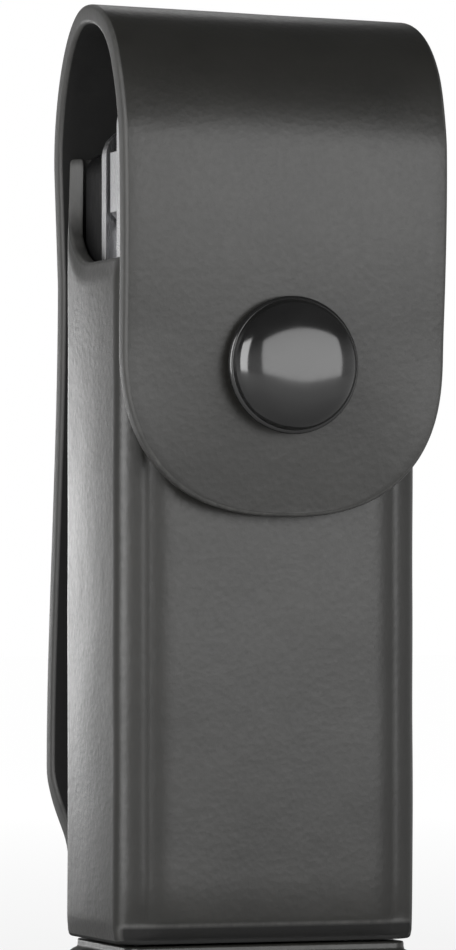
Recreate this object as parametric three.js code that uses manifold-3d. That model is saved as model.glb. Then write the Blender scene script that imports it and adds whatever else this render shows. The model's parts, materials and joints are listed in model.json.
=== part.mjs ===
// A folding multi-tool stowed in its leather belt sheath with a snap flap.
// Millimetres, +Z up. The origin is the middle of the sheath's flat bottom, and the flap faces -Y.
import * as THREE from 'three';
import { mergeVertices } from 'three/addons/utils/BufferGeometryUtils.js';
import Module from 'manifold-3d';

const wasm = await Module();
wasm.setup();

// ---------- driving dimensions ----------

const fit = 0.3; // clearance between two pieces that seat on each other

const toolTop = 116.5; // top of the stowed tool; the sheath's upper edges and its flap follow it

const sheath = {
  width: 42, depth: 26, corner: 3.5, wall: 1.9,
  foot: 3.8, // lower edge of the wrap-around wall
  backTop: toolTop - 7.5, // top of the back panel
  mouth: toolTop - 22.1, // top of the front and side panels
  thumbRadius: 9.7, // arc of the thumb cut in each side
};
const gusset = { rim: 2.4, edge: 1.0, inset: 1.0 };
const strap = {
  thickness: 2.6, loopWidth: 41.6, archWidth: 44.4, flapWidth: 43,
  foot: 4.4, seatTop: 10.6, // lower end, flat on the back panel
  loopDepth: 4.8, loopDeepest: 27, // belt gap and the height where it is deepest
  loopTop: sheath.backTop - 17,
  archStart: sheath.backTop - 1.7, // the strap leaves the back panel and starts to curve
  lift: sheath.backTop + 0.4, // fold line where the flap lifts
  apexY: -0.9, apexZ: toolTop + 10.4,
  flapBottom: toolTop - 56.3, flapShoulder: toolTop - 33.3, // lowest point and where the sides curve in
  shoulderZ: toolTop - 6.7, shoulderOut: 5.5, // front bend, and how far it stands ahead of the body
  flapFullness: 2.5, // exponent of the oval bottom: 2 would be an ellipse
  tipGap: 1.0, // flap's lower edge to the front panel
};
const snap = {
  height: toolTop - 36.5, capRadius: 9.1, domeHeight: 4.1, shank: 1.9,
  socketRadius: 6.2, socketDepth: 1.4, bore: 3.3, boreDepth: 1.1,
  studBase: 5.8, studPost: 2.0, studHead: 2.5, engage: 0.8, // how far the stud stands in the socket
};
const rivet = { spacing: 24, height: 7.4, head: 3.1, dome: 1.4, shank: 1.5, burr: 2.4 };

const tool = {
  width: 35.6, backGap: 0.4, // clearance to the sheath's back wall
  plateTop: toolTop, channelTop: toolTop - 6.5, linerTop: toolTop - 4, coverTop: toolTop - 3,
  split: 0.8, corner: 4, edge: 1.8,
  axleIn: 6.8, axleZ: toolTop - 11.5, axle: 2.2,
};
// layers of each handle from front to back, as [front, back] along Y, in the tool's own frame
const layer = {
  cover: [-10.6, -8.8], outerSlot: [-8.8, -5.5], plate: [-5.5, -3.6],
  slot: [-3.6, 0.8], liner: [0.8, 2.6], channel: [2.9, 10.7],
};
const channelWall = 1.4;
const blade = { outer: 2.2, width: 7.4, tangHalf: 4, tip: 20, thickness: 2.7 };
const driver = { thickness: 2.0, width: 5.2, tip: 46 };
const lock = { foot: 52, top: toolTop - 17.5, fromEdge: 3.4 }; // slit that frees the liner's lock tongue
const spring = { thickness: 1.4, foot: 58, top: toolTop - 18.5 };
const spacer = { width: 4, foot: 66, top: toolTop - 8.5 };
const pliers = {
  pivotZ: 22, headRadius: 6.6, pin: 2.2, tip: 62, tipWidth: 1.5, front: -2.5, back: 8.9,
  notch: 7.6, notchTop: 64, tangNotch: 14.4, tangTop: 16,
  handlePinX: 9.5, handlePinZ: 9.5, handlePin: 1.8,
};

// ---------- materials ----------

const finish = (color, roughness, metalness) =>
  new THREE.MeshStandardMaterial({ color, roughness, metalness });
const leather = finish(0x26241f, 0.55, 0);
const glossBlack = finish(0x0a0a0a, 0.15, 0.3);
const steel = finish(0xb9babb, 0.3, 1);
const blackOxide = finish(0x1b1b1d, 0.4, 0.8);
const nickel = finish(0x9a9a98, 0.25, 1);

// ---------- solids ----------

function solidFrom(geometry) {
  const bare = geometry.clone();
  bare.deleteAttribute('normal');
  bare.deleteAttribute('uv');
  const merged = mergeVertices(bare, 1e-4);
  const index = Array.from(merged.index.array);
  const corners = [];
  for (let i = 0; i < index.length; i += 3) {
    const [a, b, c] = index.slice(i, i + 3);
    if (a !== b && b !== c && c !== a) corners.push(a, b, c);
  }
  const build = (list) => new wasm.Manifold(new wasm.Mesh({
    numProp: 3,
    vertProperties: new Float32Array(merged.attributes.position.array),
    triVerts: new Uint32Array(list),
  }));
  const solid = build(corners);
  return solid.volume() > 0 ? solid : build(corners.reverse());
}

function geometryFrom(solid) {
  const mesh = solid.getMesh();
  const geometry = new THREE.BufferGeometry();
  geometry.setAttribute('position', new THREE.BufferAttribute(new Float32Array(mesh.vertProperties), 3));
  geometry.setIndex(new THREE.BufferAttribute(new Uint32Array(mesh.triVerts), 1));
  geometry.computeVertexNormals();
  return geometry;
}

const group = new THREE.Group();

function addPart(parent, name, solid, material) {
  const mesh = new THREE.Mesh(geometryFrom(solid), material);
  mesh.name = name;
  parent.add(mesh);
}

const cutAll = (solid, cutters) => cutters.reduce((rest, cutter) => rest.subtract(cutter), solid);
const joinAll = ([first, ...others]) => others.reduce((whole, next) => whole.add(next), first);

const extrude = (shape, depth) =>
  new THREE.ExtrudeGeometry(shape, { depth, bevelEnabled: false, curveSegments: 6 });

// A shape drawn in (x, y), from z0 up to z1.
const extrudeZ = (shape, z0, z1) => solidFrom(extrude(shape, z1 - z0).translate(0, 0, z0));

// A shape drawn in (x, z), from y0 back to y1.
const extrudeY = (shape, [y0, y1]) =>
  solidFrom(extrude(shape, y1 - y0).rotateX(Math.PI / 2).translate(0, y1, 0));

// A shape drawn in (y, z), spread over a width that is centred on x = 0.
function extrudeX(shape, width) {
  const turn = new THREE.Matrix4().set(0, 0, 1, -width / 2, 1, 0, 0, 0, 0, 1, 0, 0, 0, 0, 0, 1);
  return solidFrom(extrude(shape, width).applyMatrix4(turn));
}

// A round bar along Y.
const barY = (radius, x, z, [y0, y1], sides = 18) =>
  solidFrom(new THREE.CylinderGeometry(radius, radius, y1 - y0, sides).translate(x, (y0 + y1) / 2, z));

// A turned piece about an axis along Y. The profile is [radius, y] pairs.
const turned = (profile, x, z, sides = 24) =>
  solidFrom(new THREE.LatheGeometry(profile.map(([r, y]) => new THREE.Vector2(r, y)), sides)
    .translate(x, 0, z));

function polygon(points) {
  return new THREE.Shape(points.map(([a, b]) => new THREE.Vector2(a, b)));
}

function roundedRectangle(x0, x1, y0, y1, radius) {
  const shape = new THREE.Shape();
  shape.moveTo(x0 + radius, y0);
  shape.lineTo(x1 - radius, y0);
  shape.absarc(x1 - radius, y0 + radius, radius, -Math.PI / 2, 0);
  shape.lineTo(x1, y1 - radius);
  shape.absarc(x1 - radius, y1 - radius, radius, 0, Math.PI / 2);
  shape.lineTo(x0 + radius, y1);
  shape.absarc(x0 + radius, y1 - radius, radius, Math.PI / 2, Math.PI);
  shape.lineTo(x0, y0 + radius);
  shape.absarc(x0 + radius, y0 + radius, radius, Math.PI, 1.5 * Math.PI);
  return shape;
}

const footprint = (inset, corner = sheath.corner) => roundedRectangle(
  inset - sheath.width / 2, sheath.width / 2 - inset,
  inset - sheath.depth / 2, sheath.depth / 2 - inset, Math.max(corner - inset, 0.8));

// ---------- the strap: belt loop, arch and flap are one line of leather in the YZ plane ----------

const frontFace = -sheath.depth / 2;
const backFace = sheath.depth / 2;
const seatY = backFace + fit + strap.thickness / 2;
const tipY = frontFace - strap.tipGap - strap.thickness / 2;
const shoulderY = frontFace - strap.shoulderOut;
const point = (y, z) => new THREE.Vector2(y, z);

const strapLine = new THREE.CurvePath();
const loopY = seatY + strap.loopDepth;
const loopRise = strap.loopDeepest - strap.seatTop;
const loopFall = strap.loopTop - strap.loopDeepest;
const archRise = strap.apexZ - strap.archStart;
const shoulderDrop = strap.apexZ - strap.shoulderZ;
const panelDrop = strap.shoulderZ - strap.flapBottom;
strapLine.add(new THREE.LineCurve(point(seatY, strap.foot), point(seatY, strap.seatTop)));
strapLine.add(new THREE.CubicBezierCurve(
  point(seatY, strap.seatTop), point(seatY, strap.seatTop + 0.3 * loopRise),
  point(loopY, strap.loopDeepest - 0.55 * loopRise), point(loopY, strap.loopDeepest)));
strapLine.add(new THREE.CubicBezierCurve(
  point(loopY, strap.loopDeepest), point(loopY, strap.loopDeepest + 0.29 * loopFall),
  point(seatY, strap.loopTop - 0.34 * loopFall), point(seatY, strap.loopTop)));
strapLine.add(new THREE.LineCurve(point(seatY, strap.loopTop), point(seatY, strap.archStart)));
strapLine.add(new THREE.CubicBezierCurve(
  point(seatY, strap.archStart), point(seatY, strap.archStart + 0.35 * archRise),
  point(strap.apexY + 0.65 * (seatY - strap.apexY), strap.apexZ), point(strap.apexY, strap.apexZ)));
strapLine.add(new THREE.CubicBezierCurve(
  point(strap.apexY, strap.apexZ), point(strap.apexY + 0.55 * (shoulderY - strap.apexY), strap.apexZ),
  point(shoulderY + 1.0, strap.shoulderZ + 0.6 * shoulderDrop), point(shoulderY, strap.shoulderZ)));
strapLine.add(new THREE.CubicBezierCurve(
  point(shoulderY, strap.shoulderZ), point(shoulderY - 0.8, strap.shoulderZ - 0.33 * panelDrop),
  point(tipY - 2.2, strap.flapBottom + 0.27 * panelDrop), point(tipY, strap.flapBottom)));

const strapLengths = strapLine.getCurveLengths();
const strapTotal = strapLine.getLength();
const apexAt = strapLengths[4];

// How far along the strap a height lies, between two places along it.
function distanceAtHeight(z, from, to) {
  const rising = strapLine.getPointAt(to / strapTotal).y > strapLine.getPointAt(from / strapTotal).y;
  let low = from;
  let high = to;
  for (let i = 0; i < 40; i += 1) {
    const middle = (low + high) / 2;
    const above = strapLine.getPointAt(middle / strapTotal).y > z;
    if (above === rising) high = middle;
    else low = middle;
  }
  return low;
}

// The strap's section between two distances along it, as a shape in (y, z).
function strapSection(from, to) {
  const steps = Math.ceil((to - from) / 1.8);
  const outer = [];
  const inner = [];
  for (let i = 0; i <= steps; i += 1) {
    const u = (from + (to - from) * i / steps) / strapTotal;
    const middle = strapLine.getPointAt(u);
    const along = strapLine.getTangentAt(u);
    const side = point(along.y, -along.x).multiplyScalar(strap.thickness / 2);
    outer.push(middle.clone().add(side));
    inner.push(middle.clone().sub(side));
  }
  return new THREE.Shape([...outer, ...inner.reverse()]);
}

const liftAt = distanceAtHeight(strap.lift, strapLengths[3], apexAt);
const hingeGap = fit / 2;

// The flap's outline seen from the front: sides that narrow a little from the arch down, and a bottom
// that is half an oval, fuller at its corners than an ellipse.
function flapOutline() {
  const half = strap.flapWidth / 2;
  const wide = strap.archWidth / 2;
  const top = strap.apexZ + strap.thickness;
  const drop = strap.flapShoulder - strap.flapBottom;
  const steps = 32;
  const oval = [];
  for (let i = 0; i <= steps; i += 1) {
    const turn = (i / steps) * Math.PI;
    const across = Math.abs(Math.cos(turn)) ** (2 / strap.flapFullness) * Math.sign(Math.cos(turn));
    oval.push([-half * across, strap.flapShoulder - drop * Math.sin(turn) ** (2 / strap.flapFullness)]);
  }
  return polygon([[wide, top], [-wide, top], [-wide, strap.apexZ], ...oval, [wide, strap.apexZ]]);
}

// The rear of the arch widens from the belt loop's width to the flap's.
function archOutline() {
  const half = strap.loopWidth / 2;
  const wide = strap.archWidth / 2;
  return polygon([
    [-half, strap.lift - strap.thickness], [half, strap.lift - strap.thickness],
    [wide, strap.apexZ], [wide, strap.apexZ + strap.thickness],
    [-wide, strap.apexZ + strap.thickness], [-wide, strap.apexZ],
  ]);
}

const allY = [-60, 60];
// Where the middle of the front panel's leather lies at a height.
const panelY = (z) =>
  strapLine.getPointAt(distanceAtHeight(z, strapLengths[5], strapTotal) / strapTotal).x;
const acrossSnap = (radius) => [-1, -0.5, 0, 0.5, 1].map((k) => panelY(snap.height + k * radius));
const flapOuterY = Math.min(...acrossSnap(snap.capRadius)) - strap.thickness / 2;
const flapInnerY = Math.max(...acrossSnap(snap.socketRadius)) + strap.thickness / 2;
const socketBack = flapInnerY + fit + snap.socketDepth;

// ---------- sheath ----------

function sheathWall() {
  const tube = extrudeZ(footprint(0), sheath.foot, sheath.backTop)
    .subtract(extrudeZ(footprint(sheath.wall), sheath.foot - 1, sheath.backTop + 1));
  const innerBack = backFace - sheath.wall;
  const centreY = innerBack - sheath.thumbRadius;
  const profile = new THREE.Shape();
  profile.moveTo(frontFace - 1, sheath.foot);
  profile.lineTo(backFace + 1, sheath.foot);
  profile.lineTo(backFace + 1, sheath.backTop);
  profile.lineTo(innerBack, sheath.backTop);
  profile.lineTo(innerBack, sheath.mouth + sheath.thumbRadius);
  profile.absarc(centreY, sheath.mouth + sheath.thumbRadius, sheath.thumbRadius, 0, -Math.PI / 2, true);
  profile.lineTo(frontFace - 1, sheath.mouth);
  return tube.intersect(extrudeX(profile, sheath.width + 2));
}

function bottomGusset() {
  const { rim, edge, inset } = gusset;
  const rounded = new THREE.ExtrudeGeometry(footprint(0), {
    depth: rim - 2 * edge, bevelThickness: edge, bevelSize: edge, bevelOffset: -edge,
    bevelSegments: 2, curveSegments: 6,
  }).translate(0, 0, edge);
  return solidFrom(rounded).add(extrudeZ(footprint(inset), edge, sheath.foot - fit));
}

const wallInnerFront = frontFace + sheath.wall;
const wallInnerBack = backFace - sheath.wall;
const strapOuterY = seatY + strap.thickness / 2;
const headRecess = 1.1; // how deep a fastener's inner head is set into the leather wall

function snapStud() {
  const base = frontFace - fit;
  const tip = socketBack - snap.engage;
  return turned([
    [0, wallInnerFront - headRecess], [snap.shank - fit, wallInnerFront - headRecess],
    [snap.shank - fit, base], [snap.studBase, base], [snap.studBase - 0.4, base - 0.5],
    [snap.studPost, base - 0.6], [snap.studPost, tip + 1], [snap.studHead, tip + 0.8],
    [snap.studHead, tip + 0.3], [snap.studHead - 0.4, tip], [0, tip],
  ], 0, snap.height);
}

function snapEyelet() {
  const front = wallInnerFront - headRecess + fit;
  return turned([
    [0, front], [4.2, front], [4.5, front + 0.3], [4.5, wallInnerFront - 0.1], [0, wallInnerFront - 0.1],
  ], 0, snap.height);
}

function strapRivet(x) {
  const seat = strapOuterY + fit;
  return turned([
    [0, wallInnerBack + 0.1], [rivet.burr, wallInnerBack + 0.1], [rivet.burr, wallInnerBack + 0.7],
    [rivet.shank, wallInnerBack + 0.8], [rivet.shank, seat], [rivet.head, seat],
    [rivet.head, seat + 0.4], [rivet.head * 0.82, seat + 0.75 * rivet.dome],
    [rivet.head * 0.45, seat + 0.95 * rivet.dome], [0, seat + rivet.dome],
  ], x, rivet.height, 20);
}

const rivetSides = { left: -rivet.spacing / 2, right: rivet.spacing / 2 };
const rivetHoles = Object.values(rivetSides).flatMap((x) => [
  barY(rivet.shank + fit, x, rivet.height, [wallInnerBack - 1, strapOuterY + 1]),
  barY(rivet.burr + fit, x, rivet.height, [wallInnerBack - 1, wallInnerBack + headRecess]),
]);
const studHoles = [
  barY(snap.shank, 0, snap.height, [frontFace - 1, wallInnerFront + 1]),
  barY(4.5 + fit, 0, snap.height, [wallInnerFront - headRecess, wallInnerFront + 1]),
];

addPart(group, 'sheath_body', cutAll(sheathWall(), [...rivetHoles, ...studHoles]), leather);
addPart(group, 'bottom_gusset', bottomGusset(), leather);
addPart(group, 'back_strap', cutAll(
  extrudeX(strapSection(0, liftAt - hingeGap), strap.loopWidth), rivetHoles), leather);
for (const [side, x] of Object.entries(rivetSides)) addPart(group, `strap_rivet_${side}`, strapRivet(x), nickel);
addPart(group, 'snap_stud', snapStud(), nickel);
addPart(group, 'snap_eyelet', snapEyelet(), nickel);

// ---------- flap and its snap ----------

function snapCap() {
  const base = flapOuterY - fit;
  const dome = [];
  for (let i = 0; i <= 8; i += 1) {
    const turn = (i / 8) * Math.PI / 2;
    dome.push([(snap.capRadius - 1) * Math.cos(turn),
      base - 1.1 - (snap.domeHeight - 1.1) * Math.sin(turn)]);
  }
  return turned([
    [0, flapInnerY], [snap.shank, flapInnerY], [snap.shank, base],
    [snap.capRadius - 0.4, base], [snap.capRadius, base - 0.4], [snap.capRadius - 0.2, base - 0.9],
    [snap.capRadius - 0.7, base - 1.0], ...dome.slice(0, -1), [0, base - snap.domeHeight],
  ], 0, snap.height, 32);
}

function snapSocket() {
  const front = flapInnerY + fit;
  const back = socketBack;
  return turned([
    [0, front], [snap.socketRadius, front], [snap.socketRadius, back - 0.5],
    [snap.socketRadius - 0.6, back], [snap.bore, back], [snap.bore, back - snap.boreDepth],
    [0, back - snap.boreDepth],
  ], 0, snap.height);
}

const capHole = barY(snap.shank + fit, 0, snap.height, [flapOuterY - 3, flapInnerY + 3]);
addPart(group, 'flap_back', extrudeX(strapSection(liftAt + hingeGap, apexAt - hingeGap), strap.archWidth)
  .intersect(extrudeY(archOutline(), allY)), leather);
addPart(group, 'flap_front', extrudeX(strapSection(apexAt + hingeGap, strapTotal), strap.archWidth)
  .intersect(extrudeY(flapOutline(), allY)).subtract(capHole), leather);
addPart(group, 'snap_cap', snapCap(), glossBlack);
addPart(group, 'snap_socket', snapSocket(), nickel);

// ---------- multi-tool, closed, with the blade axles up and the plier pivot down ----------

const toolGroup = new THREE.Group();
const outerX = tool.width / 2;
// The stowed tool lies against the left wall and the back wall, and stands on the bottom.
toolGroup.position.x = sheath.wall + fit + outerX - sheath.width / 2;
toolGroup.position.y = backFace - sheath.wall - tool.backGap - layer.channel[1];
group.add(toolGroup);

const toolBottom = sheath.foot;
const axleX = outerX - tool.axleIn;
const between = ([y0, y1]) => [y0 + fit, y1 - fit];

// A plate with the outline of one handle, up to a given top.
const handleOutline = (side, top) => roundedRectangle(
  Math.min(side * outerX, side * tool.split / 2), Math.max(side * outerX, side * tool.split / 2),
  toolBottom, top, tool.corner);

const axleHole = (side) => barY(tool.axle + fit, side * axleX, tool.axleZ, allY);
const pinHole = (side) =>
  barY(pliers.handlePin + fit, side * pliers.handlePinX, pliers.handlePinZ, allY);

// The closed tool's rounded long edges.
const toolBody = extrudeZ(roundedRectangle(
  -outerX, outerX, layer.cover[0], layer.channel[1], tool.edge), 0, tool.plateTop);

// The room for the plier head between the two handles.
const plierRoom = joinAll([
  extrudeY(polygon([[-pliers.notch, 0], [pliers.notch, 0],
    [pliers.notch, pliers.notchTop], [-pliers.notch, pliers.notchTop]]),
  [pliers.front - fit, pliers.back + fit]),
  extrudeY(polygon([[-pliers.tangNotch, 0], [pliers.tangNotch, 0],
    [pliers.tangNotch, pliers.tangTop], [-pliers.tangNotch, pliers.tangTop]]),
  [pliers.front - fit, pliers.back + fit]),
]);

function handleChannel(side) {
  const [front, back] = layer.channel;
  const web = side * outerX;
  const open = side * tool.split / 2;
  const inside = extrudeZ(polygon([
    [web - side * channelWall, front + channelWall], [open - side, front + channelWall],
    [open - side, back - channelWall], [web - side * channelWall, back - channelWall],
  ]), 0, tool.channelTop + 1);
  const nutSeat = barY(4.1, side * axleX, tool.axleZ, [back - 0.95, back + 1]);
  return cutAll(extrudeY(handleOutline(side, tool.channelTop), layer.channel).intersect(toolBody),
    [inside, plierRoom, axleHole(side), pinHole(side), nutSeat]);
}

function handleLiner(side) {
  const slitX = side * (outerX - lock.fromEdge);
  const slit = extrudeY(polygon([
    [slitX - 0.5, lock.foot], [slitX + 0.5, lock.foot], [slitX + 0.5, lock.top], [slitX - 0.5, lock.top],
  ]), allY);
  return cutAll(extrudeY(handleOutline(side, tool.linerTop), layer.liner),
    [plierRoom, axleHole(side), pinHole(side), slit]);
}

function handleCover(side) {
  const headSeat = barY(4.1, side * axleX, tool.axleZ, [layer.cover[0] - 1, layer.cover[0] + 1.1]);
  return cutAll(extrudeY(handleOutline(side, tool.coverTop), layer.cover).intersect(toolBody),
    [axleHole(side), pinHole(side), headSeat]);
}

const handlePlate = (side) => cutAll(extrudeY(handleOutline(side, tool.plateTop), layer.plate),
  [axleHole(side), pinHole(side)]);

function spacerBar(side, gap) {
  const near = side * (tool.split / 2 + 0.6);
  const far = near + side * spacer.width;
  return extrudeY(polygon([[near, spacer.foot], [far, spacer.foot], [far, spacer.top],
    [near, spacer.top]]), between(gap));
}

function axleBolt(side) {
  const front = layer.cover[0];
  return turned([
    [0, front], [3.5, front], [3.8, front + 0.3], [3.8, front + 0.8], [tool.axle, front + 0.8],
    [tool.axle, layer.channel[1] - channelWall - fit], [0, layer.channel[1] - channelWall - fit],
  ], side * axleX, tool.axleZ, 18);
}

function axleNut(side) {
  const back = layer.channel[1];
  return turned([
    [0, back - channelWall], [tool.axle, back - channelWall], [tool.axle, back - 0.65],
    [3.8, back - 0.65], [3.8, back - 0.3], [3.5, back], [0, back],
  ], side * axleX, tool.axleZ, 18);
}

const handlePin = (side) => barY(pliers.handlePin, side * pliers.handlePinX, pliers.handlePinZ,
  [layer.cover[0] + 0.1, layer.channel[1] - 0.1], 16);

const backSpring = (side) => extrudeY(polygon([
  [side * (outerX - channelWall - fit), spring.foot],
  [side * (outerX - channelWall - fit), spring.top],
  [side * (outerX - channelWall - fit - spring.thickness), spring.top],
  [side * (outerX - channelWall - fit - spring.thickness), spring.foot],
]), [layer.channel[0] + channelWall + fit, layer.channel[1] - channelWall - fit]);

// A blade folded into its slot: a square tang on the axle, and a body that ends in a given tip.
function foldedBlade(side, gap, tipPoints, toothPitch) {
  const edge = outerX - blade.outer;
  const back = edge - blade.width;
  const tangTop = tool.axleZ + blade.tangHalf;
  const tangFoot = tool.axleZ - blade.tangHalf;
  const outline = [
    [outerX - fit, tangTop], [axleX - 4.2, tangTop], [axleX - 4.2, tangFoot], [back, tangFoot - 2],
    ...tipPoints.map(([across, up]) => [back + across * blade.width, blade.tip + up]),
  ];
  if (toothPitch) {
    for (let z = blade.tip + 16; z < tangFoot - 8; z += toothPitch) {
      outline.push([edge, z], [edge - 1.1, z + 0.5 * toothPitch]);
    }
  }
  outline.push([edge, tangFoot - 2], [outerX - fit, tangFoot]);
  const middle = (gap[0] + gap[1]) / 2;
  return extrudeY(polygon(outline.map(([x, z]) => [side * x, z])),
    [middle - blade.thickness / 2, middle + blade.thickness / 2]).subtract(axleHole(side));
}

// A driver in the channel: a round tang on the axle and a shaft that ends in a given tip.
function foldedDriver(side, place, tipPoints) {
  const front = layer.channel[0] + channelWall + fit + place * (driver.thickness + fit);
  const span = [front, front + driver.thickness];
  const half = driver.width / 2;
  const shaft = polygon([
    [axleX + half, tool.axleZ], [axleX - half, tool.axleZ],
    ...tipPoints.map(([across, up]) => [axleX - half + across * driver.width, driver.tip + up]),
  ].map(([x, z]) => [side * x, z]));
  return barY(3.2, side * axleX, tool.axleZ, span).add(extrudeY(shaft, span)).subtract(axleHole(side));
}

function plierJaw(side) {
  const middle = (pliers.front + pliers.back) / 2;
  const spans = { front: [pliers.front, middle - fit / 2], back: [middle + fit / 2, pliers.back] };
  const own = side < 0 ? spans.front : spans.back;
  const cleared = side < 0 ? [middle - fit / 2, pliers.back + 1] : [pliers.front - 1, middle + fit / 2];
  const { pivotZ, headRadius, tip, tipWidth, handlePinX, handlePinZ } = pliers;
  const outline = polygon([
    [fit / 2, tip], [tipWidth, tip], [4.2, pivotZ + 12], [headRadius, pivotZ + 2],
    [headRadius + 0.2, pivotZ - 5], [headRadius + 0.4, pliers.tangTop - 2 * fit],
    [handlePinX + 3.6, handlePinZ + 4.6],
    [handlePinX + 3.9, handlePinZ - 3.4], [handlePinX - 3.6, handlePinZ - 4], [2, pivotZ - 9],
    [fit / 2, pivotZ - 5],
  ].map(([x, z]) => [side * x, z]));
  const arm = extrudeY(outline, [pliers.front, pliers.back])
    .subtract(barY(headRadius + fit, 0, pivotZ, cleared));
  return cutAll(arm.add(barY(headRadius, 0, pivotZ, own)),
    [barY(pliers.pin + fit, 0, pivotZ, allY), pinHole(side)]);
}

const clipPoint = [[0, 12], [0.45, 0], [1, 16]];
const roundPoint = [[0, 8], [0.2, 2], [0.5, 0], [0.8, 2], [1, 12]];
const squareEnd = [[0, 4], [1, 4]];
const outerBlades = {
  knife_blade: [-1, layer.slot, clipPoint, 0], serrated_blade: [1, layer.slot, roundPoint, 3.2],
  wood_saw: [-1, layer.outerSlot, roundPoint, 2.4], file_blade: [1, layer.outerSlot, squareEnd, 0],
};
const flatTip = [[0.1, 0], [0.9, 0]];
const hookTip = [[0, 4], [0.3, 0], [1, 0], [1, 5], [0.6, 7], [1, 9]];
const crossTip = [[0, 5], [0.35, 0], [0.65, 0], [1, 5]];
const innerDrivers = {
  large_screwdriver: [-1, 0, flatTip], can_opener: [-1, 1, hookTip],
  cross_screwdriver: [1, 0, crossTip], small_screwdriver: [1, 1, [[0, 12], [0.3, 0], [0.7, 0], [1, 12]]],
};

for (const [name, side] of [['left', -1], ['right', 1]]) {
  addPart(toolGroup, `handle_channel_${name}`, handleChannel(side), blackOxide);
  addPart(toolGroup, `handle_liner_${name}`, handleLiner(side), steel);
  addPart(toolGroup, `handle_plate_${name}`, handlePlate(side), steel);
  addPart(toolGroup, `handle_cover_${name}`, handleCover(side), steel);
  addPart(toolGroup, `outer_spacer_${name}`, spacerBar(side, layer.outerSlot), blackOxide);
  addPart(toolGroup, `inner_spacer_${name}`, spacerBar(side, layer.slot), blackOxide);
  addPart(toolGroup, `axle_bolt_${name}`, axleBolt(side), steel);
  addPart(toolGroup, `axle_nut_${name}`, axleNut(side), steel);
  addPart(toolGroup, `handle_pin_${name}`, handlePin(side), steel);
  addPart(toolGroup, `back_spring_${name}`, backSpring(side), steel);
  addPart(toolGroup, `plier_jaw_${name}`, plierJaw(side), steel);
}
for (const [name, [side, gap, tip, pitch]] of Object.entries(outerBlades)) {
  addPart(toolGroup, name, foldedBlade(side, gap, tip, pitch), steel);
}
for (const [name, [side, place, tip]] of Object.entries(innerDrivers)) {
  addPart(toolGroup, name, foldedDriver(side, place, tip), steel);
}
addPart(toolGroup, 'plier_pivot',
  barY(pliers.pin, 0, pliers.pivotZ, [pliers.front + 0.1, pliers.back - 0.1], 20), steel);

export default group;
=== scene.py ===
import json
import math

import bmesh
import bpy
import numpy as np
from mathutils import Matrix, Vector, noise

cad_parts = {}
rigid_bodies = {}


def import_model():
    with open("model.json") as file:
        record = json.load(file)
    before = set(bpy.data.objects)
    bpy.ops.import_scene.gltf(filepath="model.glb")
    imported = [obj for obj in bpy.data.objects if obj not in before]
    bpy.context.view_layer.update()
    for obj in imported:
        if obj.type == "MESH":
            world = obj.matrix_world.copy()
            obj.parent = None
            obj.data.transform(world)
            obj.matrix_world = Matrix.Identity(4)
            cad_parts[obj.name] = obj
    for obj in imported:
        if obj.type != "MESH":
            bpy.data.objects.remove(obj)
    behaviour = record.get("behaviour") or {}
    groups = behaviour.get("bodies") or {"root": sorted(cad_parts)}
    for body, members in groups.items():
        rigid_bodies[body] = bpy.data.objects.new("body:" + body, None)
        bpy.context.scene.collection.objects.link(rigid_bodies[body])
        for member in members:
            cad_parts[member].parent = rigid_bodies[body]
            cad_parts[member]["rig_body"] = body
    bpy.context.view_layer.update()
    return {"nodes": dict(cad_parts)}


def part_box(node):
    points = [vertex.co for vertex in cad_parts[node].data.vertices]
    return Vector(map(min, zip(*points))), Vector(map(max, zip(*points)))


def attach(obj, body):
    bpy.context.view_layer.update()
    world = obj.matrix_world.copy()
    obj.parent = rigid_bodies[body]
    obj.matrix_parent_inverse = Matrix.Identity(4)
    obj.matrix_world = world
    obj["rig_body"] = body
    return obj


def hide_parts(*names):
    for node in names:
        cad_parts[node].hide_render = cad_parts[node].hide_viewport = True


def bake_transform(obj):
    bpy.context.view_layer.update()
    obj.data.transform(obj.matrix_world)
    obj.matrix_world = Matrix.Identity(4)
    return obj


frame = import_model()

MM = 0.001

# ---------- sizes: outer ones from the frame, the leather's own below ----------

BODY_LOW, BODY_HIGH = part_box("sheath_body")
LOOP_LOW, LOOP_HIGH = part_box("back_strap")
FLAP_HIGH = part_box("flap_front")[1]
CAP_LOW, CAP_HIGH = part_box("snap_cap")
FRONT, BACK = BODY_LOW.y, BODY_HIGH.y

# The body: a wall of one thickness, low in front, with a thumb cut in each side.
WALL = 1.9 * MM
CORNER = 3.5 * MM
LIP = 0.55 * MM                          # rounding of the wall's cut edges
MOUTH = BODY_HIGH.z - 14.6 * MM          # the wall's height in front
THUMB_RADIUS = 9.7 * MM
ROLL_FROM = 0.76                         # share of the front's flat half where it starts to roll back
ROLL = 1.1 * MM                          # how far the front has rolled back at its long edges
FRONT_CROWN = 0.15 * MM
SIDE_CROWN = 0.45 * MM
FADE = 3 * MM                            # the moulded shape fades out this near the wall's edges
TUCK_REACH, TUCK_REACH_FRONT = 0.9, 2.1  # height in mm of the turned-in foot, and what the front adds
TUCK_DEPTH = 0.7                         # how far the foot turns in, as a share of its height
SLOPE_REACH, SLOPE = 9 * MM, 0.9 * MM    # the front's gentler slope above its foot
PAINTED_SHADE_TOP, PAINTED_SHADE_FADE = 2.9 * MM, 0.9 * MM  # painted shade of the groove above the rim: the front is dark below this height, and fades to it
WALL_WAVE, WALL_WAVE_SCALE = 0.10 * MM, 60
CREASE, CREASE_SCALE = 0.14 * MM, 260

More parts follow.
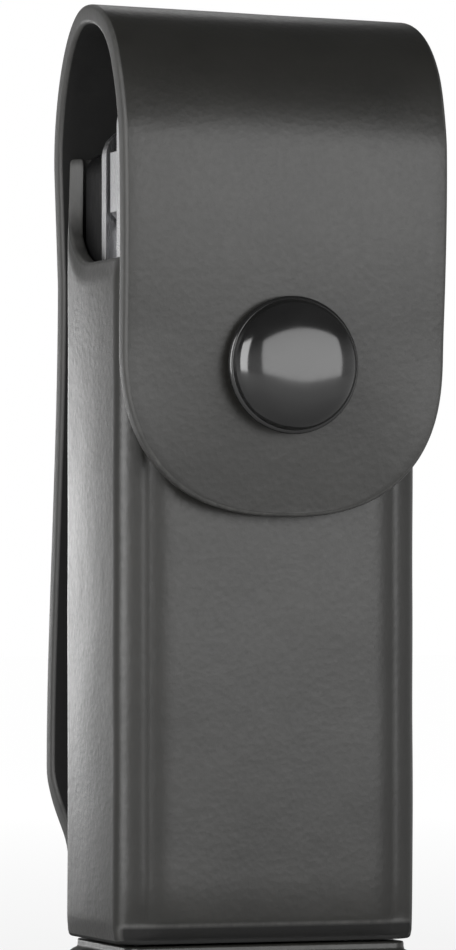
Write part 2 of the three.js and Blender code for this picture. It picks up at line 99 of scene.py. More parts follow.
# The strap: one length of leather, for the belt loop, the arch and the flap.
FIT = 0.3 * MM                           # between the strap and the back panel
STRAP = 2.6 * MM
EDGE_ROUND = 0.6 * MM
LOOP_HALF = LOOP_HIGH.x
ARCH_HALF = FLAP_HIGH.x + 0.35 * MM
FLAP_HALF = ARCH_HALF
FOOT_HALF, ANKLE_HALF = LOOP_HALF - 2.4 * MM, LOOP_HALF - 1.9 * MM
LIFT_HALF = LOOP_HALF + 0.6 * MM
BROW_HALF = ARCH_HALF + 0.4 * MM
ANKLE_AT, LOOP_WIDE_AT = 7 * MM, 22 * MM  # distances along the strap where its foot has widened
BROW_RUN = 17 * MM                       # from the arch's top to the flap's widest place
BOW = 1.3 * MM                           # how far the flap's long edges bend back towards the body
BOW_POWER = 2.6                          # keeps the bend near the long edges
BOW_TOP, BOW_LOW, BOW_FADE = 14 * MM, 4 * MM, 22 * MM  # where the bend comes in and dies out
STRAP_WAVE, STRAP_WAVE_SCALE = 0.09 * MM, 55
REAR_BEND, TOP_BEND = 3 * MM, 5 * MM     # distances along the strap on each side of the rear and top folds
FULLNESS = 2.45                          # exponent of the flap's oval bottom
SKEW = 0.018                             # the flap hangs lower on the right, per metre across

# The strap's middle line, as places on it in depth (Y) and height.
SEAT_Y = BACK + FIT + STRAP / 2
LOOP_Y = LOOP_HIGH.y - STRAP / 2
SEAT_TOP = 15.5 * MM
LOOP_DEEPEST = 27 * MM
LOOP_TOP = BODY_HIGH.z - 17 * MM
ARCH_START = BODY_HIGH.z - 1.7 * MM
LIFT = BODY_HIGH.z + 0.4 * MM            # height of the flap's rear fold
APEX_Y = -0.9 * MM
APEX_Z = FLAP_HIGH.z - STRAP / 2
SHOULDER_Y = FRONT - 5.5 * MM
SHOULDER_Z = APEX_Z - 17.1 * MM
TIP_Y = FRONT - 1.0 * MM - STRAP / 2
FLAP_BOTTOM = APEX_Z - 66.7 * MM
FLAP_SHOULDER = FLAP_BOTTOM + 22.5 * MM  # height where the flap's oval bottom starts

# The snap cap: a thin rolled rim around a crown.
CAP_HEIGHT = 4.1 * MM                    # from the cap's seat on the leather to its front
SHANK = 1.9 * MM
BEAD = 0.5 * MM
CROWN_WIDTH = 0.95                       # the crown's share of the cap's radius
CROWN_SINK = 0.75 * MM                   # how far the crown's foot sits in front of the cap's seat
CROWN_ROUNDNESS = 2.4                    # 2 is an ellipse; more is flatter with steeper sides

# The belt loop's sewing.
MARGIN = 3.0 * MM
PITCH = 3.0 * MM
THREAD_RADIUS = 0.36 * MM
THREAD_RISE = 0.34 * MM
THREAD_DIP = 0.1 * MM


# ---------- meshes ----------

def new_object(name, points, faces, sides=None, sharp=50):
    """A smooth-shaded mesh. sides says what each point is: 0 grain, 0.5 cut edge, 1 flesh, and also the
    front's foot, painted dark as shade.
    """
    mesh = bpy.data.meshes.new(name)
    mesh.from_pydata([tuple(p) for p in points], [], faces)
    if sides is not None:
        mesh.attributes.new("side", "FLOAT", "POINT").data.foreach_set("value", sides)
    shape = bmesh.new()
    shape.from_mesh(mesh)
    bmesh.ops.remove_doubles(shape, verts=shape.verts, dist=1e-6)
    bmesh.ops.dissolve_degenerate(shape, edges=shape.edges, dist=1e-7)
    bmesh.ops.recalc_face_normals(shape, faces=shape.faces)
    shape.to_mesh(mesh)
    shape.free()
    mesh.shade_smooth()
    mesh.set_sharp_from_angle(angle=math.radians(sharp))
    obj = bpy.data.objects.new(name, mesh)
    bpy.context.scene.collection.objects.link(obj)
    return obj


def loft(name, rings, sides=None, joined=False, sharp=50):
    """Skins a row of closed rings of equal count. joined links the last ring to the first."""
    count = len(rings[0])
    points = [p for ring in rings for p in ring]
    faces = []
    for i in range(len(rings) if joined else len(rings) - 1):
        a, b = i * count, (i + 1) % len(rings) * count
        faces += [(a + j, a + (j + 1) % count, b + (j + 1) % count, b + j) for j in range(count)]
    if not joined:
        faces.append(tuple(range(count)))
        faces.append(tuple((len(rings) - 1) * count + j for j in range(count)))
    return new_object(name, points, faces, sides, sharp)


def bezier(p0, p1, p2, p3, steps=60):
    """Points along a cubic Bezier curve."""
    t = np.linspace(0, 1, steps)[:, None]
    a, b, c, d = (np.array(p) for p in (p0, p1, p2, p3))
    return a * (1 - t) ** 3 + 3 * b * t * (1 - t) ** 2 + 3 * c * t * t * (1 - t) + d * t ** 3


def smooth(value):
    """0 to 1 with a level start and end."""
    value = min(max(value, 0), 1)
    return value * value * (3 - 2 * value)


# ---------- the strap: belt loop, arch and flap ----------

def strap_line():
    """The middle of the strap's leather in (y, z), with the distance along it.

    It goes straight up the seat, out and back over the belt loop, up the back panel, over the arch and
    down the flap. The control points lie at shares of each stretch's height or depth.
    """
    rise = LOOP_DEEPEST - SEAT_TOP
    fall = LOOP_TOP - LOOP_DEEPEST
    arch = APEX_Z - ARCH_START
    bend = APEX_Z - SHOULDER_Z
    drop = SHOULDER_Z - FLAP_BOTTOM
    parts = [
        np.linspace((SEAT_Y, LOOP_LOW.z), (SEAT_Y, SEAT_TOP), 10),
        bezier((SEAT_Y, SEAT_TOP), (SEAT_Y, SEAT_TOP + 0.3 * rise),
               (LOOP_Y, LOOP_DEEPEST - 0.55 * rise), (LOOP_Y, LOOP_DEEPEST)),
        bezier((LOOP_Y, LOOP_DEEPEST), (LOOP_Y, LOOP_DEEPEST + 0.29 * fall),
               (SEAT_Y, LOOP_TOP - 0.34 * fall), (SEAT_Y, LOOP_TOP)),
        np.linspace((SEAT_Y, LOOP_TOP), (SEAT_Y, ARCH_START), 20),
        bezier((SEAT_Y, ARCH_START), (SEAT_Y, ARCH_START + 0.35 * arch),
               (APEX_Y + 0.59 * (SEAT_Y - APEX_Y), APEX_Z), (APEX_Y, APEX_Z)),
        bezier((APEX_Y, APEX_Z), (APEX_Y + 0.55 * (SHOULDER_Y - APEX_Y), APEX_Z),
               (SHOULDER_Y + 1.0 * MM, SHOULDER_Z + 0.6 * bend), (SHOULDER_Y, SHOULDER_Z)),
        bezier((SHOULDER_Y, SHOULDER_Z), (SHOULDER_Y - 0.8 * MM, SHOULDER_Z - 0.33 * drop),
               (TIP_Y - 1.5 * MM, FLAP_BOTTOM + 0.27 * drop), (TIP_Y, FLAP_BOTTOM)),
    ]
    line = np.vstack([parts[0]] + [p[1:] for p in parts[1:]])
    along = np.r_[0, np.cumsum(np.linalg.norm(np.diff(line, axis=0), axis=1))]
    return line, along


LINE, ALONG = strap_line()
TOTAL = ALONG[-1]
APEX_AT = ALONG[int(np.argmax(LINE[:, 1]))]
LIFT_AT = ALONG[int(np.argmin(np.abs(LINE[:, 1] - LIFT) + (ALONG > APEX_AT)))]
LOOP_TOP_AT = ALONG[int(np.argmin(np.abs(LINE[:, 1] - LOOP_TOP) + (ALONG > APEX_AT)))]
SHOULDER_AT = ALONG[int(np.argmin(np.abs(LINE[:, 1] - FLAP_SHOULDER) + (ALONG < APEX_AT)))]


def strap_point(s, x, t):
    """A point of the strap: s along it, x across it, t out of its middle."""
    s = min(max(s, 0), TOTAL)
    y, z = np.interp(s, ALONG, LINE[:, 0]), np.interp(s, ALONG, LINE[:, 1])
    step = 1.2 * MM
    low, high = max(s - step, 0), min(s + step, TOTAL)
    dy = np.interp(high, ALONG, LINE[:, 0]) - np.interp(low, ALONG, LINE[:, 0])
    dz = np.interp(high, ALONG, LINE[:, 1]) - np.interp(low, ALONG, LINE[:, 1])
    length = math.hypot(dy, dz)
    droop = SKEW * x * smooth((s - LIFT_AT) / (APEX_AT - LIFT_AT))
    if s > APEX_AT:
        bowed = smooth((APEX_Z - z) / BOW_TOP) * smooth((z - FLAP_BOTTOM - BOW_LOW) / BOW_FADE)
        t -= BOW * bowed * abs(x / FLAP_HALF) ** BOW_POWER
    return Vector((x, y + dz / length * t, z - dy / length * t - droop))


def strap_half(s):
    """Half the strap's width, and the outline's outward normal (across, along)."""
    if s <= SHOULDER_AT:
        places = [0, ANKLE_AT, LOOP_WIDE_AT, LOOP_TOP_AT, LIFT_AT, APEX_AT, APEX_AT + BROW_RUN,
                  SHOULDER_AT]
        halves = [FOOT_HALF, ANKLE_HALF, LOOP_HALF, LOOP_HALF, LIFT_HALF, ARCH_HALF, BROW_HALF,
                  FLAP_HALF]
        return float(np.interp(s, places, halves)), (1, 0)
    length = TOTAL - SHOULDER_AT
    drop = (s - SHOULDER_AT) / length
    wide = max(1 - drop ** FULLNESS, 0) ** (1 / FULLNESS)
    normal = Vector((wide ** (FULLNESS - 1) / FLAP_HALF, drop ** (FULLNESS - 1) / length)).normalized()
    return FLAP_HALF * wide, (normal.x, normal.y)


def strap_piece(name, stations, foot=False):
    """One stretch of the strap with rounded cut edges, from a list of distances along it."""
    across = 30
    turn = 5
    rings = []
    sides = []
    for s in stations:
        half, (n_across, n_along) = strap_half(s)
        squeeze = 0
        if foot and s < EDGE_ROUND:
            squeeze = EDGE_ROUND * (1 - math.sqrt(max(1 - (1 - s / EDGE_ROUND) ** 2, 0)))
        top = STRAP / 2 - squeeze
        ring = []
        side = []
        inset = half - EDGE_ROUND * n_across - squeeze
        for k in range(across):
            x = inset * (1 - 2 * k / (across - 1))
            wave = STRAP_WAVE * noise.noise(Vector((x, 0, s)) * STRAP_WAVE_SCALE)
            ring.append(strap_point(s - EDGE_ROUND * n_along, x, top + wave * (1 - abs(x) / (half + MM))))
            side.append(0)
        for direction in (-1, 1):
            angles = [math.pi / 2 * (1 - k / turn) for k in range(1, turn + 1)]
            upper = [(EDGE_ROUND * (1 - math.cos(a)), top - EDGE_ROUND * (1 - math.sin(a))) for a in angles]
            lower = [(back, -t) for back, t in reversed(upper)]
            edge = upper + lower
            if direction == 1:
                edge = edge[::-1]
            for back, t in edge:
                out = (half - squeeze) - back * n_across
                if half < EDGE_ROUND:
                    out = half * (1 - back / EDGE_ROUND)
                ring.append(strap_point(s - back * n_along, direction * out, t))
                side.append(0.5)
            if direction == -1:
                for k in range(across):
                    x = -inset * (1 - 2 * k / (across - 1))
                    ring.append(strap_point(s - EDGE_ROUND * n_along, x, -top))
                    side.append(1)
        rings.append(ring)
        sides += side
    return loft(name, rings, sides)


def spaced(start, end, step):
    """Even stations from start to end, about a step apart."""
    return list(np.linspace(start, end, max(2, int(round((end - start) / step)) + 1)))


# ---------- materials ----------

def material(name):
    made = bpy.data.materials.new(name)
    made.use_nodes = True
    return made, made.node_tree.nodes, made.node_tree.links, made.node_tree.nodes["Principled BSDF"]


def noise_node(nodes, links, scale, detail=4, roughness=0.6, stretch=None):
    place = nodes.new("ShaderNodeTexCoord")
    source = place.outputs["Object"]
    if stretch:
        mapping = nodes.new("ShaderNodeMapping")
        mapping.inputs["Scale"].default_value = stretch
        links.new(source, mapping.inputs["Vector"])
        source = mapping.outputs["Vector"]
    made = nodes.new("ShaderNodeTexNoise")
    made.inputs["Scale"].default_value = scale
    made.inputs["Detail"].default_value = detail
    made.inputs["Roughness"].default_value = roughness
    links.new(source, made.inputs["Vector"])
    return made


def ramp(nodes, links, source, stops):
    made = nodes.new("ShaderNodeValToRGB")
    points = made.color_ramp.elements
    while len(points) < len(stops):
        points.new(0.5)
    for point, (place, colour) in zip(points, stops):
        point.position = place
        point.color = (*colour, 1)
    links.new(source, made.inputs["Fac"])
    return made.outputs["Color"]


def span(nodes, links, source, low, high, start=0.3, end=0.7):
    """Maps a value's range from start to end onto low to high."""
    made = nodes.new("ShaderNodeMapRange")
    for key, value in (("From Min", start), ("From Max", end), ("To Min", low), ("To Max", high)):
        made.inputs[key].default_value = value
    links.new(source, made.inputs["Value"])
    return made.outputs["Result"]


def mix_colour(nodes, links, factor, first, second):
    made = nodes.new("ShaderNodeMix")
    made.data_type = "RGBA"
    links.new(factor, made.inputs[0])
    links.new(first, made.inputs[6])
    links.new(second, made.inputs[7])
    return made.outputs[2]


def mix_value(nodes, links, factor, first, second):
    made = nodes.new("ShaderNodeMix")
    made.data_type = "FLOAT"
    links.new(factor, made.inputs[0])
    links.new(first, made.inputs[2])
    links.new(second, made.inputs[3])
    return made.outputs[0]


def bump_chain(nodes, links, steps):
    """Bumps one on another: a list of (height output, strength, distance)."""
    last = None
    for height, strength, distance in steps:
        made = nodes.new("ShaderNodeBump")
        made.inputs["Strength"].default_value = strength
        made.inputs["Distance"].default_value = distance
        links.new(height, made.inputs["Height"])
        if last:
            links.new(last, made.inputs["Normal"])
        last = made.outputs["Normal"]
    return last


def leather_material():
    """Semi-gloss black leather: grain outside, pale burnished cut edges and a dark fibrous flesh side, whose
    dark colour also paints shade on the front's foot.
    """
    made, nodes, links, shader = material("black_leather")
    side = nodes.new("ShaderNodeAttribute")
    side.attribute_name = "side"
    is_edge = span(nodes, links, side.outputs["Fac"], 0, 1, 0.05, 0.45)
    # This mask takes the flesh side and also the front's foot, where the flesh's dark colour is painted
    # shade.
    flesh_and_painted_shade = span(nodes, links, side.outputs["Fac"], 0, 1, 0.55, 0.95)
    cloud = noise_node(nodes, links, 70, 5, 0.6)
    grain = noise_node(nodes, links, 1500, 6, 0.65)
    pores = nodes.new("ShaderNodeTexVoronoi")
    pores.inputs["Scale"].default_value = 1100
    links.new(nodes.new("ShaderNodeTexCoord").outputs["Object"], pores.inputs["Vector"])
    fibre = noise_node(nodes, links, 420, 8, 0.75, (1, 1, 0.35))
    streak = noise_node(nodes, links, 900, 6, 0.7, (1, 1, 0.1))
    outer = ramp(nodes, links, cloud.outputs["Fac"], [
        (0.3, (0.013, 0.0128, 0.0115)), (0.7, (0.020, 0.0195, 0.0175))])
    edge = ramp(nodes, links, streak.outputs["Fac"], [
        (0.3, (0.030, 0.030, 0.029)), (0.7, (0.062, 0.061, 0.058))])
    flesh = ramp(nodes, links, fibre.outputs["Fac"], [
        (0.3, (0.002, 0.002, 0.002)), (0.7, (0.008, 0.008, 0.0075))])
    colour = mix_colour(nodes, links, is_edge, outer, edge)
    colour = mix_colour(nodes, links, flesh_and_painted_shade, colour, flesh)
    links.new(colour, shader.inputs["Base Color"])
    smooth_side = span(nodes, links, grain.outputs["Fac"], 0.31, 0.39)
    rough_edge = span(nodes, links, streak.outputs["Fac"], 0.45, 0.6)
    rough_flesh = span(nodes, links, fibre.outputs["Fac"], 0.75, 0.95)
    rough = mix_value(nodes, links, is_edge, smooth_side, rough_edge)
    links.new(mix_value(nodes, links, flesh_and_painted_shade, rough, rough_flesh), shader.inputs["Roughness"])
    fibre_height = mix_value(nodes, links, flesh_and_painted_shade, pores.outputs["Distance"], fibre.outputs["Fac"])
    links.new(bump_chain(nodes, links, [
        (cloud.outputs["Fac"], 0.25, 0.5 * MM), (fibre_height, 0.12, 0.1 * MM),
        (grain.outputs["Fac"], 0.16, 0.08 * MM)]), shader.inputs["Normal"])
    return made


def metal_material(name, dark, light, rough, metallic, grain_scale, stretch, bump_size):
    """A worked metal: fine grain along one direction, with slow changes in its shine."""
    made, nodes, links, shader = material(name)
    lines = noise_node(nodes, links, grain_scale, 6, 0.7, stretch)
    cloud = noise_node(nodes, links, 120, 4, 0.6)
    links.new(ramp(nodes, links, cloud.outputs["Fac"], [(0.3, dark), (0.7, light)]),
              shader.inputs["Base Color"])
    links.new(span(nodes, links, lines.outputs["Fac"], *rough), shader.inputs["Roughness"])
    shader.inputs["Metallic"].default_value = metallic
    links.new(bump_chain(nodes, links, [(lines.outputs["Fac"], 0.2, bump_size)]),
              shader.inputs["Normal"])
    return made


def cap_material():
    """Gloss black enamel."""
    made = metal_material("gloss_black", (0.006, 0.006, 0.006), (0.012, 0.012, 0.012),
                          (0.1, 0.15), 0, 500, (1, 1, 1), 0.01 * MM)
    made.node_tree.nodes["Principled BSDF"].inputs["IOR"].default_value = 1.62
    return made


def near_black_steel_material():
    """Near-black steel with weak reflections."""
    made = metal_material("near_black_steel", (0.002, 0.002, 0.002), (0.005, 0.005, 0.0055),
                          (0.5, 0.65), 0, 1200, (1, 1, 0.3), 0.02 * MM)
    made.node_tree.nodes["Principled BSDF"].inputs["Specular IOR Level"].default_value = 0.2
    return made


LEATHER = leather_material()
STEEL = metal_material("satin_steel", (0.52, 0.52, 0.53), (0.66, 0.66, 0.67),
                       (0.22, 0.34), 1, 900, (1, 1, 0.05), 0.02 * MM)
NEAR_BLACK_STEEL = near_black_steel_material()
NICKEL = metal_material("nickel", (0.5, 0.49, 0.47), (0.62, 0.61, 0.59),
                        (0.16, 0.26), 1, 700, (1, 1, 1), 0.01 * MM)
THREAD = metal_material("black_thread", (0.012, 0.012, 0.012), (0.03, 0.029, 0.028),
                        (0.55, 0.7), 0, 5000, (1, 1, 0.3), 0.05 * MM)
GLOSS = cap_material()


def dress(obj, made):
    obj.data.materials.clear()
    obj.data.materials.append(made)


# ---------- sheath ----------

def mouth_height(y):
    """How high the wall stands at a depth: low in front, the thumb cut's arc, and the back panel."""
    inner_back = BACK - WALL
    centre = inner_back - THUMB_RADIUS
    if y <= centre:
        return MOUTH
    if y <= inner_back:
        reach = y - centre
        arc = MOUTH + THUMB_RADIUS - math.sqrt(max(THUMB_RADIUS ** 2 - reach ** 2, 0))
        return min(arc, MOUTH + THUMB_RADIUS)
    share = smooth((y - inner_back) / (0.5 * MM))
    return MOUTH + THUMB_RADIUS + share * (BODY_HIGH.z - MOUTH - THUMB_RADIUS)


def perimeter():
    """Points and outward normals around the body, dense at the corners and at the thumb cuts."""
    flat_x = BODY_HIGH.x - CORNER
    flat_y = BACK - CORNER
    out = []
    cut_from = 1.4 * MM
    side_ys = sorted(set(
        list(np.linspace(-flat_y, cut_from, 26)) + [flat_y]
        + [cut_from + (flat_y - cut_from) * (1 - (1 - k / 22) ** 2) for k in range(23)]))

    def corner(cx, cy, start):
        steps = 40 if cy > 0 else 10
        for k in range(1, steps):
            a = start + math.pi / 2 * k / steps
            out.append((Vector((cx + CORNER * math.cos(a), cy + CORNER * math.sin(a))),
                        Vector((math.cos(a), math.sin(a)))))

    out += [(Vector((x, FRONT)), Vector((0, -1))) for x in np.linspace(-flat_x, flat_x, 70)]
    corner(flat_x, -flat_y, -math.pi / 2)
    out += [(Vector((BODY_HIGH.x, y)), Vector((1, 0))) for y in side_ys]
    corner(flat_x, flat_y, 0)
    out += [(Vector((x, BACK)), Vector((0, 1))) for x in np.linspace(flat_x, -flat_x, 30)]
    corner(-flat_x, flat_y, math.pi / 2)
    out += [(Vector((BODY_LOW.x, y)), Vector((-1, 0))) for y in side_ys[::-1]]
    corner(-flat_x, -flat_y, math.pi)
    return out


def front_relief(x):
    """The front panel's moulded shape: flat in the middle, rolled back towards its long edges."""
    flat = BODY_HIGH.x - CORNER
    roll = min(max((abs(x) - ROLL_FROM * flat) / ((1 - ROLL_FROM) * flat), 0), 1)
    crown = FRONT_CROWN * math.cos(min(abs(x) / BODY_HIGH.x, 1) * math.pi / 2)
    return crown - ROLL * roll * roll


def side_relief(y):
    """The side panels bow out a little in the middle of their depth."""
    return SIDE_CROWN * math.cos(min(abs(y) / BACK, 1) * math.pi / 2)


def tucked(z, low, normal):
    """How far the wall turns in above its lower edge, most of all in front."""
    front = max(-normal.y, 0)
    reach = (TUCK_REACH + TUCK_REACH_FRONT * front) * MM
    turn = min(max((low + reach - z) / reach, 0), 1)
    slope = min(max((low + SLOPE_REACH - z) / SLOPE_REACH, 0), 1)
    return TUCK_DEPTH * reach * (1 - math.sqrt(1 - turn * turn)) + SLOPE * front * slope ** 2.2


def sheath_wall():
    """The wrap-around wall, each section a closed loop: up the outside, over the lip, down the inside.

    The outside has more points near both ends, and its foot thins so that the inside stays straight.
    """
    rings = []
    sides = []
    for place, normal in perimeter():
        top = mouth_height(place.y)
        low = BODY_LOW.z
        foot = tucked(low + LIP, low, normal)
        foot_lip = min(LIP, (WALL - foot) / 2)
        ring = []
        side = []
        for k in range(61):
            share = k / 60 - 0.85 * math.sin(2 * math.pi * k / 60) / (2 * math.pi)
            z = low + LIP + (top - low - 2 * LIP) * share
            outward = front_relief(place.x) * smooth(-normal.y)
            outward += side_relief(place.y) * smooth(abs(normal.x))
            outward += WALL_WAVE * noise.noise(Vector((place.x, place.y, z)) * WALL_WAVE_SCALE)
            fade = smooth((z - low) / FADE) * smooth((top - z) / FADE)
            p = place + normal * (outward * fade - tucked(z, low, normal))
            ring.append(Vector((p.x, p.y, z)))
            # Painted shade: the front's foot takes the flesh's dark colour, as the shade of the groove above
            # the rim.
            side.append(smooth((low + PAINTED_SHADE_TOP - z) / PAINTED_SHADE_FADE) * smooth(-2 * normal.y))
        for k in range(1, 6):
            a = math.pi / 2 * k / 5
            p = place - normal * LIP * (1 - math.cos(a))
            ring.append(Vector((p.x, p.y, top - LIP + LIP * math.sin(a))))
            side.append(0.5)
        for k in range(6):
            a = math.pi / 2 * (1 - k / 5)
            p = place - normal * (WALL - LIP * (1 - math.cos(a)))
            ring.append(Vector((p.x, p.y, top - LIP + LIP * math.sin(a))))
            side.append(0.5)
        for k in range(1, 12):
            z = top - LIP + (low + LIP - top + LIP) * k / 12
            p = place - normal * WALL
            ring.append(Vector((p.x, p.y, z)))
            side.append(1)
        for k in range(6):
            a = math.pi / 2 * k / 5
            p = place - normal * (WALL - foot_lip * (1 - math.cos(a)))
            ring.append(Vector((p.x, p.y, low + LIP - LIP * math.sin(a))))
            side.append(1)
        for k in range(5):
            a = math.pi / 2 * (1 - k / 5)
            p = place - normal * (foot + foot_lip * (1 - math.cos(a)))
            ring.append(Vector((p.x, p.y, low + LIP - LIP * math.sin(a))))
            side.append(1)
        rings.append(ring)
        sides += side
    return loft("sheath_wall", rings, sides, joined=True)


def sheath_bottom():
    """The folded bottom: a rolled rim that stands out below the seam groove, with small creases.

    Each level is a height and how far the bottom stands in from the body's outline there, in mm.
    """
    levels = [(0.0, 2.8), (0.05, 1.9), (0.25, 1.1), (0.6, 0.5), (1.0, 0.2), (1.5, 0.15), (1.9, 0.35),
              (2.2, 0.8), (2.4, 1.2), (2.8, 1.3), (3.2, 1.3), (3.45, 1.4)]
    rings = []
    sides = []
    for height, inset in levels:
        ring = []
        for place, normal in perimeter():
            crease = CREASE * noise.noise(Vector((place.x, place.y, height * MM)) * CREASE_SCALE)
            p = place - normal * (inset * MM - crease * (0.3 < height < 2.3) - 0.05 * MM)
            ring.append(Vector((p.x, p.y, height * MM)))
        rings.append(ring)
        sides += [0] * len(ring)
    return loft("sheath_bottom", rings, sides, sharp=70)


wall = sheath_wall()
dress(wall, LEATHER)
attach(wall, "sheath")
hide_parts("sheath_body")

bottom = sheath_bottom()
dress(bottom, LEATHER)
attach(bottom, "sheath")
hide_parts("bottom_gusset")

# The strap is one line of leather in two meshes, joined in the middle of the arch's stiff rear part.
SEAM_AT = LIFT_AT + 0.55 * (APEX_AT - LIFT_AT)
OVAL = [SHOULDER_AT + (TOTAL - SHOULDER_AT) * math.sin(math.pi / 2 * k / 44) ** (2 / FULLNESS)
        for k in range(45)]
FOOT = [EDGE_ROUND * (1 - math.cos(math.pi / 2 * k / 5)) for k in range(6)]

loop = strap_piece("belt_loop_leather", FOOT + spaced(1.5 * MM, SEAM_AT, 1.1 * MM), foot=True)
dress(loop, LEATHER)
strap_point(LIFT_AT - REAR_BEND, 0, 0)
strap_point(LIFT_AT + REAR_BEND, 0, 0)
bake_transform(loop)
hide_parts("back_strap")

flap = strap_piece("flap_leather", spaced(SEAM_AT, SHOULDER_AT, 1.0 * MM) + OVAL[1:])
dress(flap, LEATHER)
strap_point(APEX_AT - TOP_BEND, 0, 0)
strap_point(APEX_AT + TOP_BEND, 0, 0)
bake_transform(flap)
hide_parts("flap_back", "flap_front")


# ---------- snap cap ----------

def turned(name, profile, centre_x, centre_z, count=96):
    """A piece turned about an axis along Y, from [radius, y] pairs."""
    rings = []
    for radius, y in profile:
        rings.append([Vector((centre_x + radius * math.cos(a), y, centre_z + radius * math.sin(a)))
                      for a in np.linspace(0, 2 * math.pi, count, endpoint=False)])
    return loft(name, rings, sharp=45)


def snap_cap():
    """A rolled rim and a crown, flat in its middle and steep at its sides, with the shank behind."""
    radius = CAP_HIGH.x
    front = CAP_LOW.y
    seat = front + CAP_HEIGHT
    pole = 0.02 * MM
    profile = [(pole, CAP_HIGH.y), (SHANK, CAP_HIGH.y), (SHANK, seat), (radius - 2 * BEAD, seat)]
    for k in range(13):
        a = -math.pi / 2 + math.pi * k / 12
        profile.append((radius - BEAD + BEAD * math.cos(a), seat - BEAD - BEAD * math.sin(a)))
    shoulder, foot = CROWN_WIDTH * radius, seat - CROWN_SINK
    for k in range(41):
        a = math.pi / 2 * k / 40
        across = math.cos(a) ** (2 / CROWN_ROUNDNESS)
        rise = math.sin(a) ** (2 / CROWN_ROUNDNESS)
        profile.append((shoulder * across + pole, foot + (front - foot) * rise))
    return turned("snap_dome", profile, 0, (CAP_LOW.z + CAP_HIGH.z) / 2)


cap = snap_cap()
dress(cap, GLOSS)
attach(cap, "flap_panel")
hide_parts("snap_cap")


# ---------- stitching of the belt loop ----------

def stitch(start, end, out):
    """One stitch: thread that dips into the leather at both ends. out is the outward direction."""
    along = end - start
    side = along.cross(out).normalized()
    rings = []
    for k in range(9):
        t = k / 8
        lift = THREAD_RISE * math.sin(math.pi * t) - THREAD_DIP
        radius = THREAD_RADIUS * (0.55 + 0.45 * math.sin(math.pi * t))
        middle = start + along * t + out * lift
        rings.append([middle + side * radius * math.cos(a) + out * radius * math.sin(a)
                      for a in np.linspace(0, 2 * math.pi, 8, endpoint=False)])
    return rings


def stitched_path(name, corners, pitch):
    """Stitches along a run of (distance along the strap, x) corners on the strap's outer face."""
    rings_of_all = []
    for (s0, x0), (s1, x1) in zip(corners[:-1], corners[1:]):
        length = math.hypot(s1 - s0, x1 - x0)
        count = max(1, int(round(length / pitch)))
        for k in range(count):
            a = (k + 0.1) / count
            b = (k + 0.9) / count
            start = strap_point(s0 + (s1 - s0) * a, x0 + (x1 - x0) * a, STRAP / 2)
            end = strap_point(s0 + (s1 - s0) * b, x0 + (x1 - x0) * b, STRAP / 2)
            middle_s = (s0 + s1) / 2
            out = (strap_point(middle_s, 0, MM) - strap_point(middle_s, 0, 0)).normalized()
            rings_of_all.append(stitch(start, end, out))
    points = []
    faces = []
    for rings in rings_of_all:
        base = len(points)
        count = len(rings[0])
        points += [p for ring in rings for p in ring]
        for i in range(len(rings) - 1):
            a, b = base + i * count, base + (i + 1) * count
            faces += [(a + j, a + (j + 1) % count, b + (j + 1) % count, b + j) for j in range(count)]
        faces.append(tuple(base + j for j in range(count)))
        faces.append(tuple(base + (len(rings) - 1) * count + j for j in range(count)))
    return new_object(name, points, faces)


def height_at(z):
    """Distance along the strap where it passes a height on the back."""
    return float(np.interp(z, LINE[ALONG <= LIFT_AT, 1], ALONG[ALONG <= LIFT_AT]))


top_run, low_run = height_at(ARCH_START - 1.5 * MM), height_at(LOOP_TOP + 2 * MM)
inner_x = LOOP_HALF - MARGIN
upper = stitched_path("upper_stitches", [
    (low_run, -inner_x), (top_run, -inner_x), (top_run, inner_x), (low_run, inner_x),
    (low_run, -inner_x)], PITCH)
dress(upper, THREAD)
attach(upper, "sheath")


# ---------- carried-over metal ----------

for name, node in frame["nodes"].items():
    if name in ("snap_stud", "snap_socket", "snap_eyelet") or name.startswith("strap_rivet"):
        dress(node, NICKEL)
    # The channels and spacers are near-black with weak reflections.
    elif name.startswith(("handle_channel", "outer_spacer", "inner_spacer")):
        dress(node, NEAR_BLACK_STEEL)
    elif node["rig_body"] == "multi_tool":
        dress(node, STEEL)

# ---------- stage, light and camera ----------


def white_backdrop(nodes, links, lit, out, seen, mirrored, white=None):
    """Shows plain white: seen is the camera's share, mirrored the share of shiny and clear pieces."""
    path = nodes.new("ShaderNodeLightPath")

    def maths(operation, first, second):
        made = nodes.new("ShaderNodeMath")
        made.operation = operation
        links.new(first, made.inputs[0])
        if isinstance(second, float):
            made.inputs[1].default_value = second
        else:
            links.new(second, made.inputs[1])
        return made.outputs[0]

    direct = maths("MULTIPLY", path.outputs["Is Camera Ray"], seen)
    either = maths("MAXIMUM", path.outputs["Is Glossy Ray"], path.outputs["Is Transmission Ray"])
    share = maths("MAXIMUM", direct, maths("MULTIPLY", either, mirrored))
    glow = nodes.new("ShaderNodeEmission")
    if white:
        links.new(white, glow.inputs["Color"])
        glow.inputs["Strength"].default_value = 1.06
    mix = nodes.new("ShaderNodeMixShader")
    links.new(share, mix.inputs["Fac"])
    links.new(lit, mix.inputs[1])
    links.new(glow.outputs[0], mix.inputs[2])
    links.new(mix.outputs[0], out)


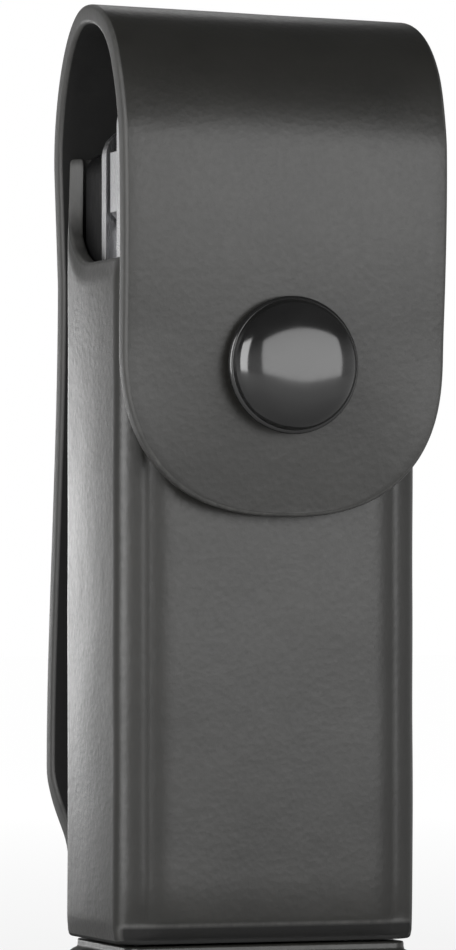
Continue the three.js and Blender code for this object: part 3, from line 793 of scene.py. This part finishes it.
def floor_and_world():
    """A pale floor whose white is painted greyer near the object as shade, and a world that is bright low
    down.
    """
    bpy.ops.mesh.primitive_plane_add(size=8)
    floor = bpy.context.object
    floor.name = "floor"
    made, nodes, links, shader = material("floor")
    cloud = noise_node(nodes, links, 3, 2)
    links.new(ramp(nodes, links, cloud.outputs["Fac"], [
        (0.3, (0.86, 0.86, 0.86)), (0.7, (0.88, 0.88, 0.88))]), shader.inputs["Base Color"])
    shader.inputs["Roughness"].default_value = 0.7
    place = nodes.new("ShaderNodeTexCoord")
    away = nodes.new("ShaderNodeVectorMath")
    away.operation = "LENGTH"
    links.new(place.outputs["Object"], away.inputs[0])
    # Painted shade: the floor's white is greyer near the object, full white half a metre away.
    pale = ramp(nodes, links, away.outputs["Value"], [(0.0, (0.89, 0.89, 0.89)), (0.5, (1, 1, 1))])
    # Reflections show the floor whiter away from the object, and nearly as lit close to it.
    mirrored = span(nodes, links, away.outputs["Value"], 0.03, 0.6, 0.07, 0.3)
    white_backdrop(nodes, links, shader.outputs[0], nodes["Material Output"].inputs["Surface"],
                   0.93, mirrored, pale)
    dress(floor, made)

    world = bpy.data.worlds.new("studio")
    bpy.context.scene.world = world
    world.use_nodes = True
    nodes, links = world.node_tree.nodes, world.node_tree.links
    nodes.clear()
    out = nodes.new("ShaderNodeOutputWorld")
    place = nodes.new("ShaderNodeTexCoord")
    height = nodes.new("ShaderNodeSeparateXYZ")
    links.new(place.outputs["Generated"], height.inputs[0])
    colour = ramp(nodes, links, height.outputs["Z"], [
        (0.0, (0.7, 0.7, 0.7)), (0.15, (0.6, 0.6, 0.6)), (0.4, (0.06, 0.06, 0.06)),
        (1.0, (0.04, 0.04, 0.04))])
    light = nodes.new("ShaderNodeBackground")
    links.new(colour, light.inputs["Color"])
    white_backdrop(nodes, links, light.outputs[0], out.inputs["Surface"], 1.0, 0.05)


def lamp(name, place, target, width, height, power):
    """A rectangular soft light, with its size in metres and its power in watts."""
    data = bpy.data.lights.new(name, "AREA")
    data.shape = "RECTANGLE"
    data.size = width
    data.size_y = height
    data.energy = power
    obj = bpy.data.objects.new(name, data)
    obj.location = place
    obj.rotation_euler = (Vector(target) - Vector(place)).to_track_quat("-Z", "Y").to_euler()
    bpy.context.scene.collection.objects.link(obj)


def camera():
    """From the front left and a little below the middle, with a long lens."""
    azimuth, elevation, distance = math.radians(-20), math.radians(-1.4), 0.712
    aim = Vector((0, 0, 0.066))
    back = Vector((math.sin(azimuth) * math.cos(elevation), -math.cos(azimuth) * math.cos(elevation),
                   math.sin(elevation)))
    right = Vector((math.cos(azimuth), math.sin(azimuth), 0))
    data = bpy.data.cameras.new("camera")
    data.lens = 200
    data.sensor_width = 36
    data.clip_start = 0.01
    obj = bpy.data.objects.new("camera", data)
    aim = aim - right * 1.6 * MM
    obj.location = aim + back * distance
    obj.rotation_euler = (-back).to_track_quat("-Z", "Y").to_euler()
    bpy.context.scene.collection.objects.link(obj)
    bpy.context.scene.camera = obj


floor_and_world()
MIDDLE = (0, 0, 0.065)
lamp("front_softbox", (0.29, -0.74, 0.205), MIDDLE, 0.95, 0.39, 3.7)
lamp("back_left_strip", (-0.14, 0.85, 0.06), MIDDLE, 0.22, 0.13, 0.5)
lamp("left_softbox", (-0.573, -0.40, 0.22), MIDDLE, 0.42, 0.45, 3.9)
lamp("top_back_strip", (0.0, 0.5, 0.45), MIDDLE, 0.5, 0.12, 0.3)
camera()

bpy.context.scene.view_settings.view_transform = "Standard"
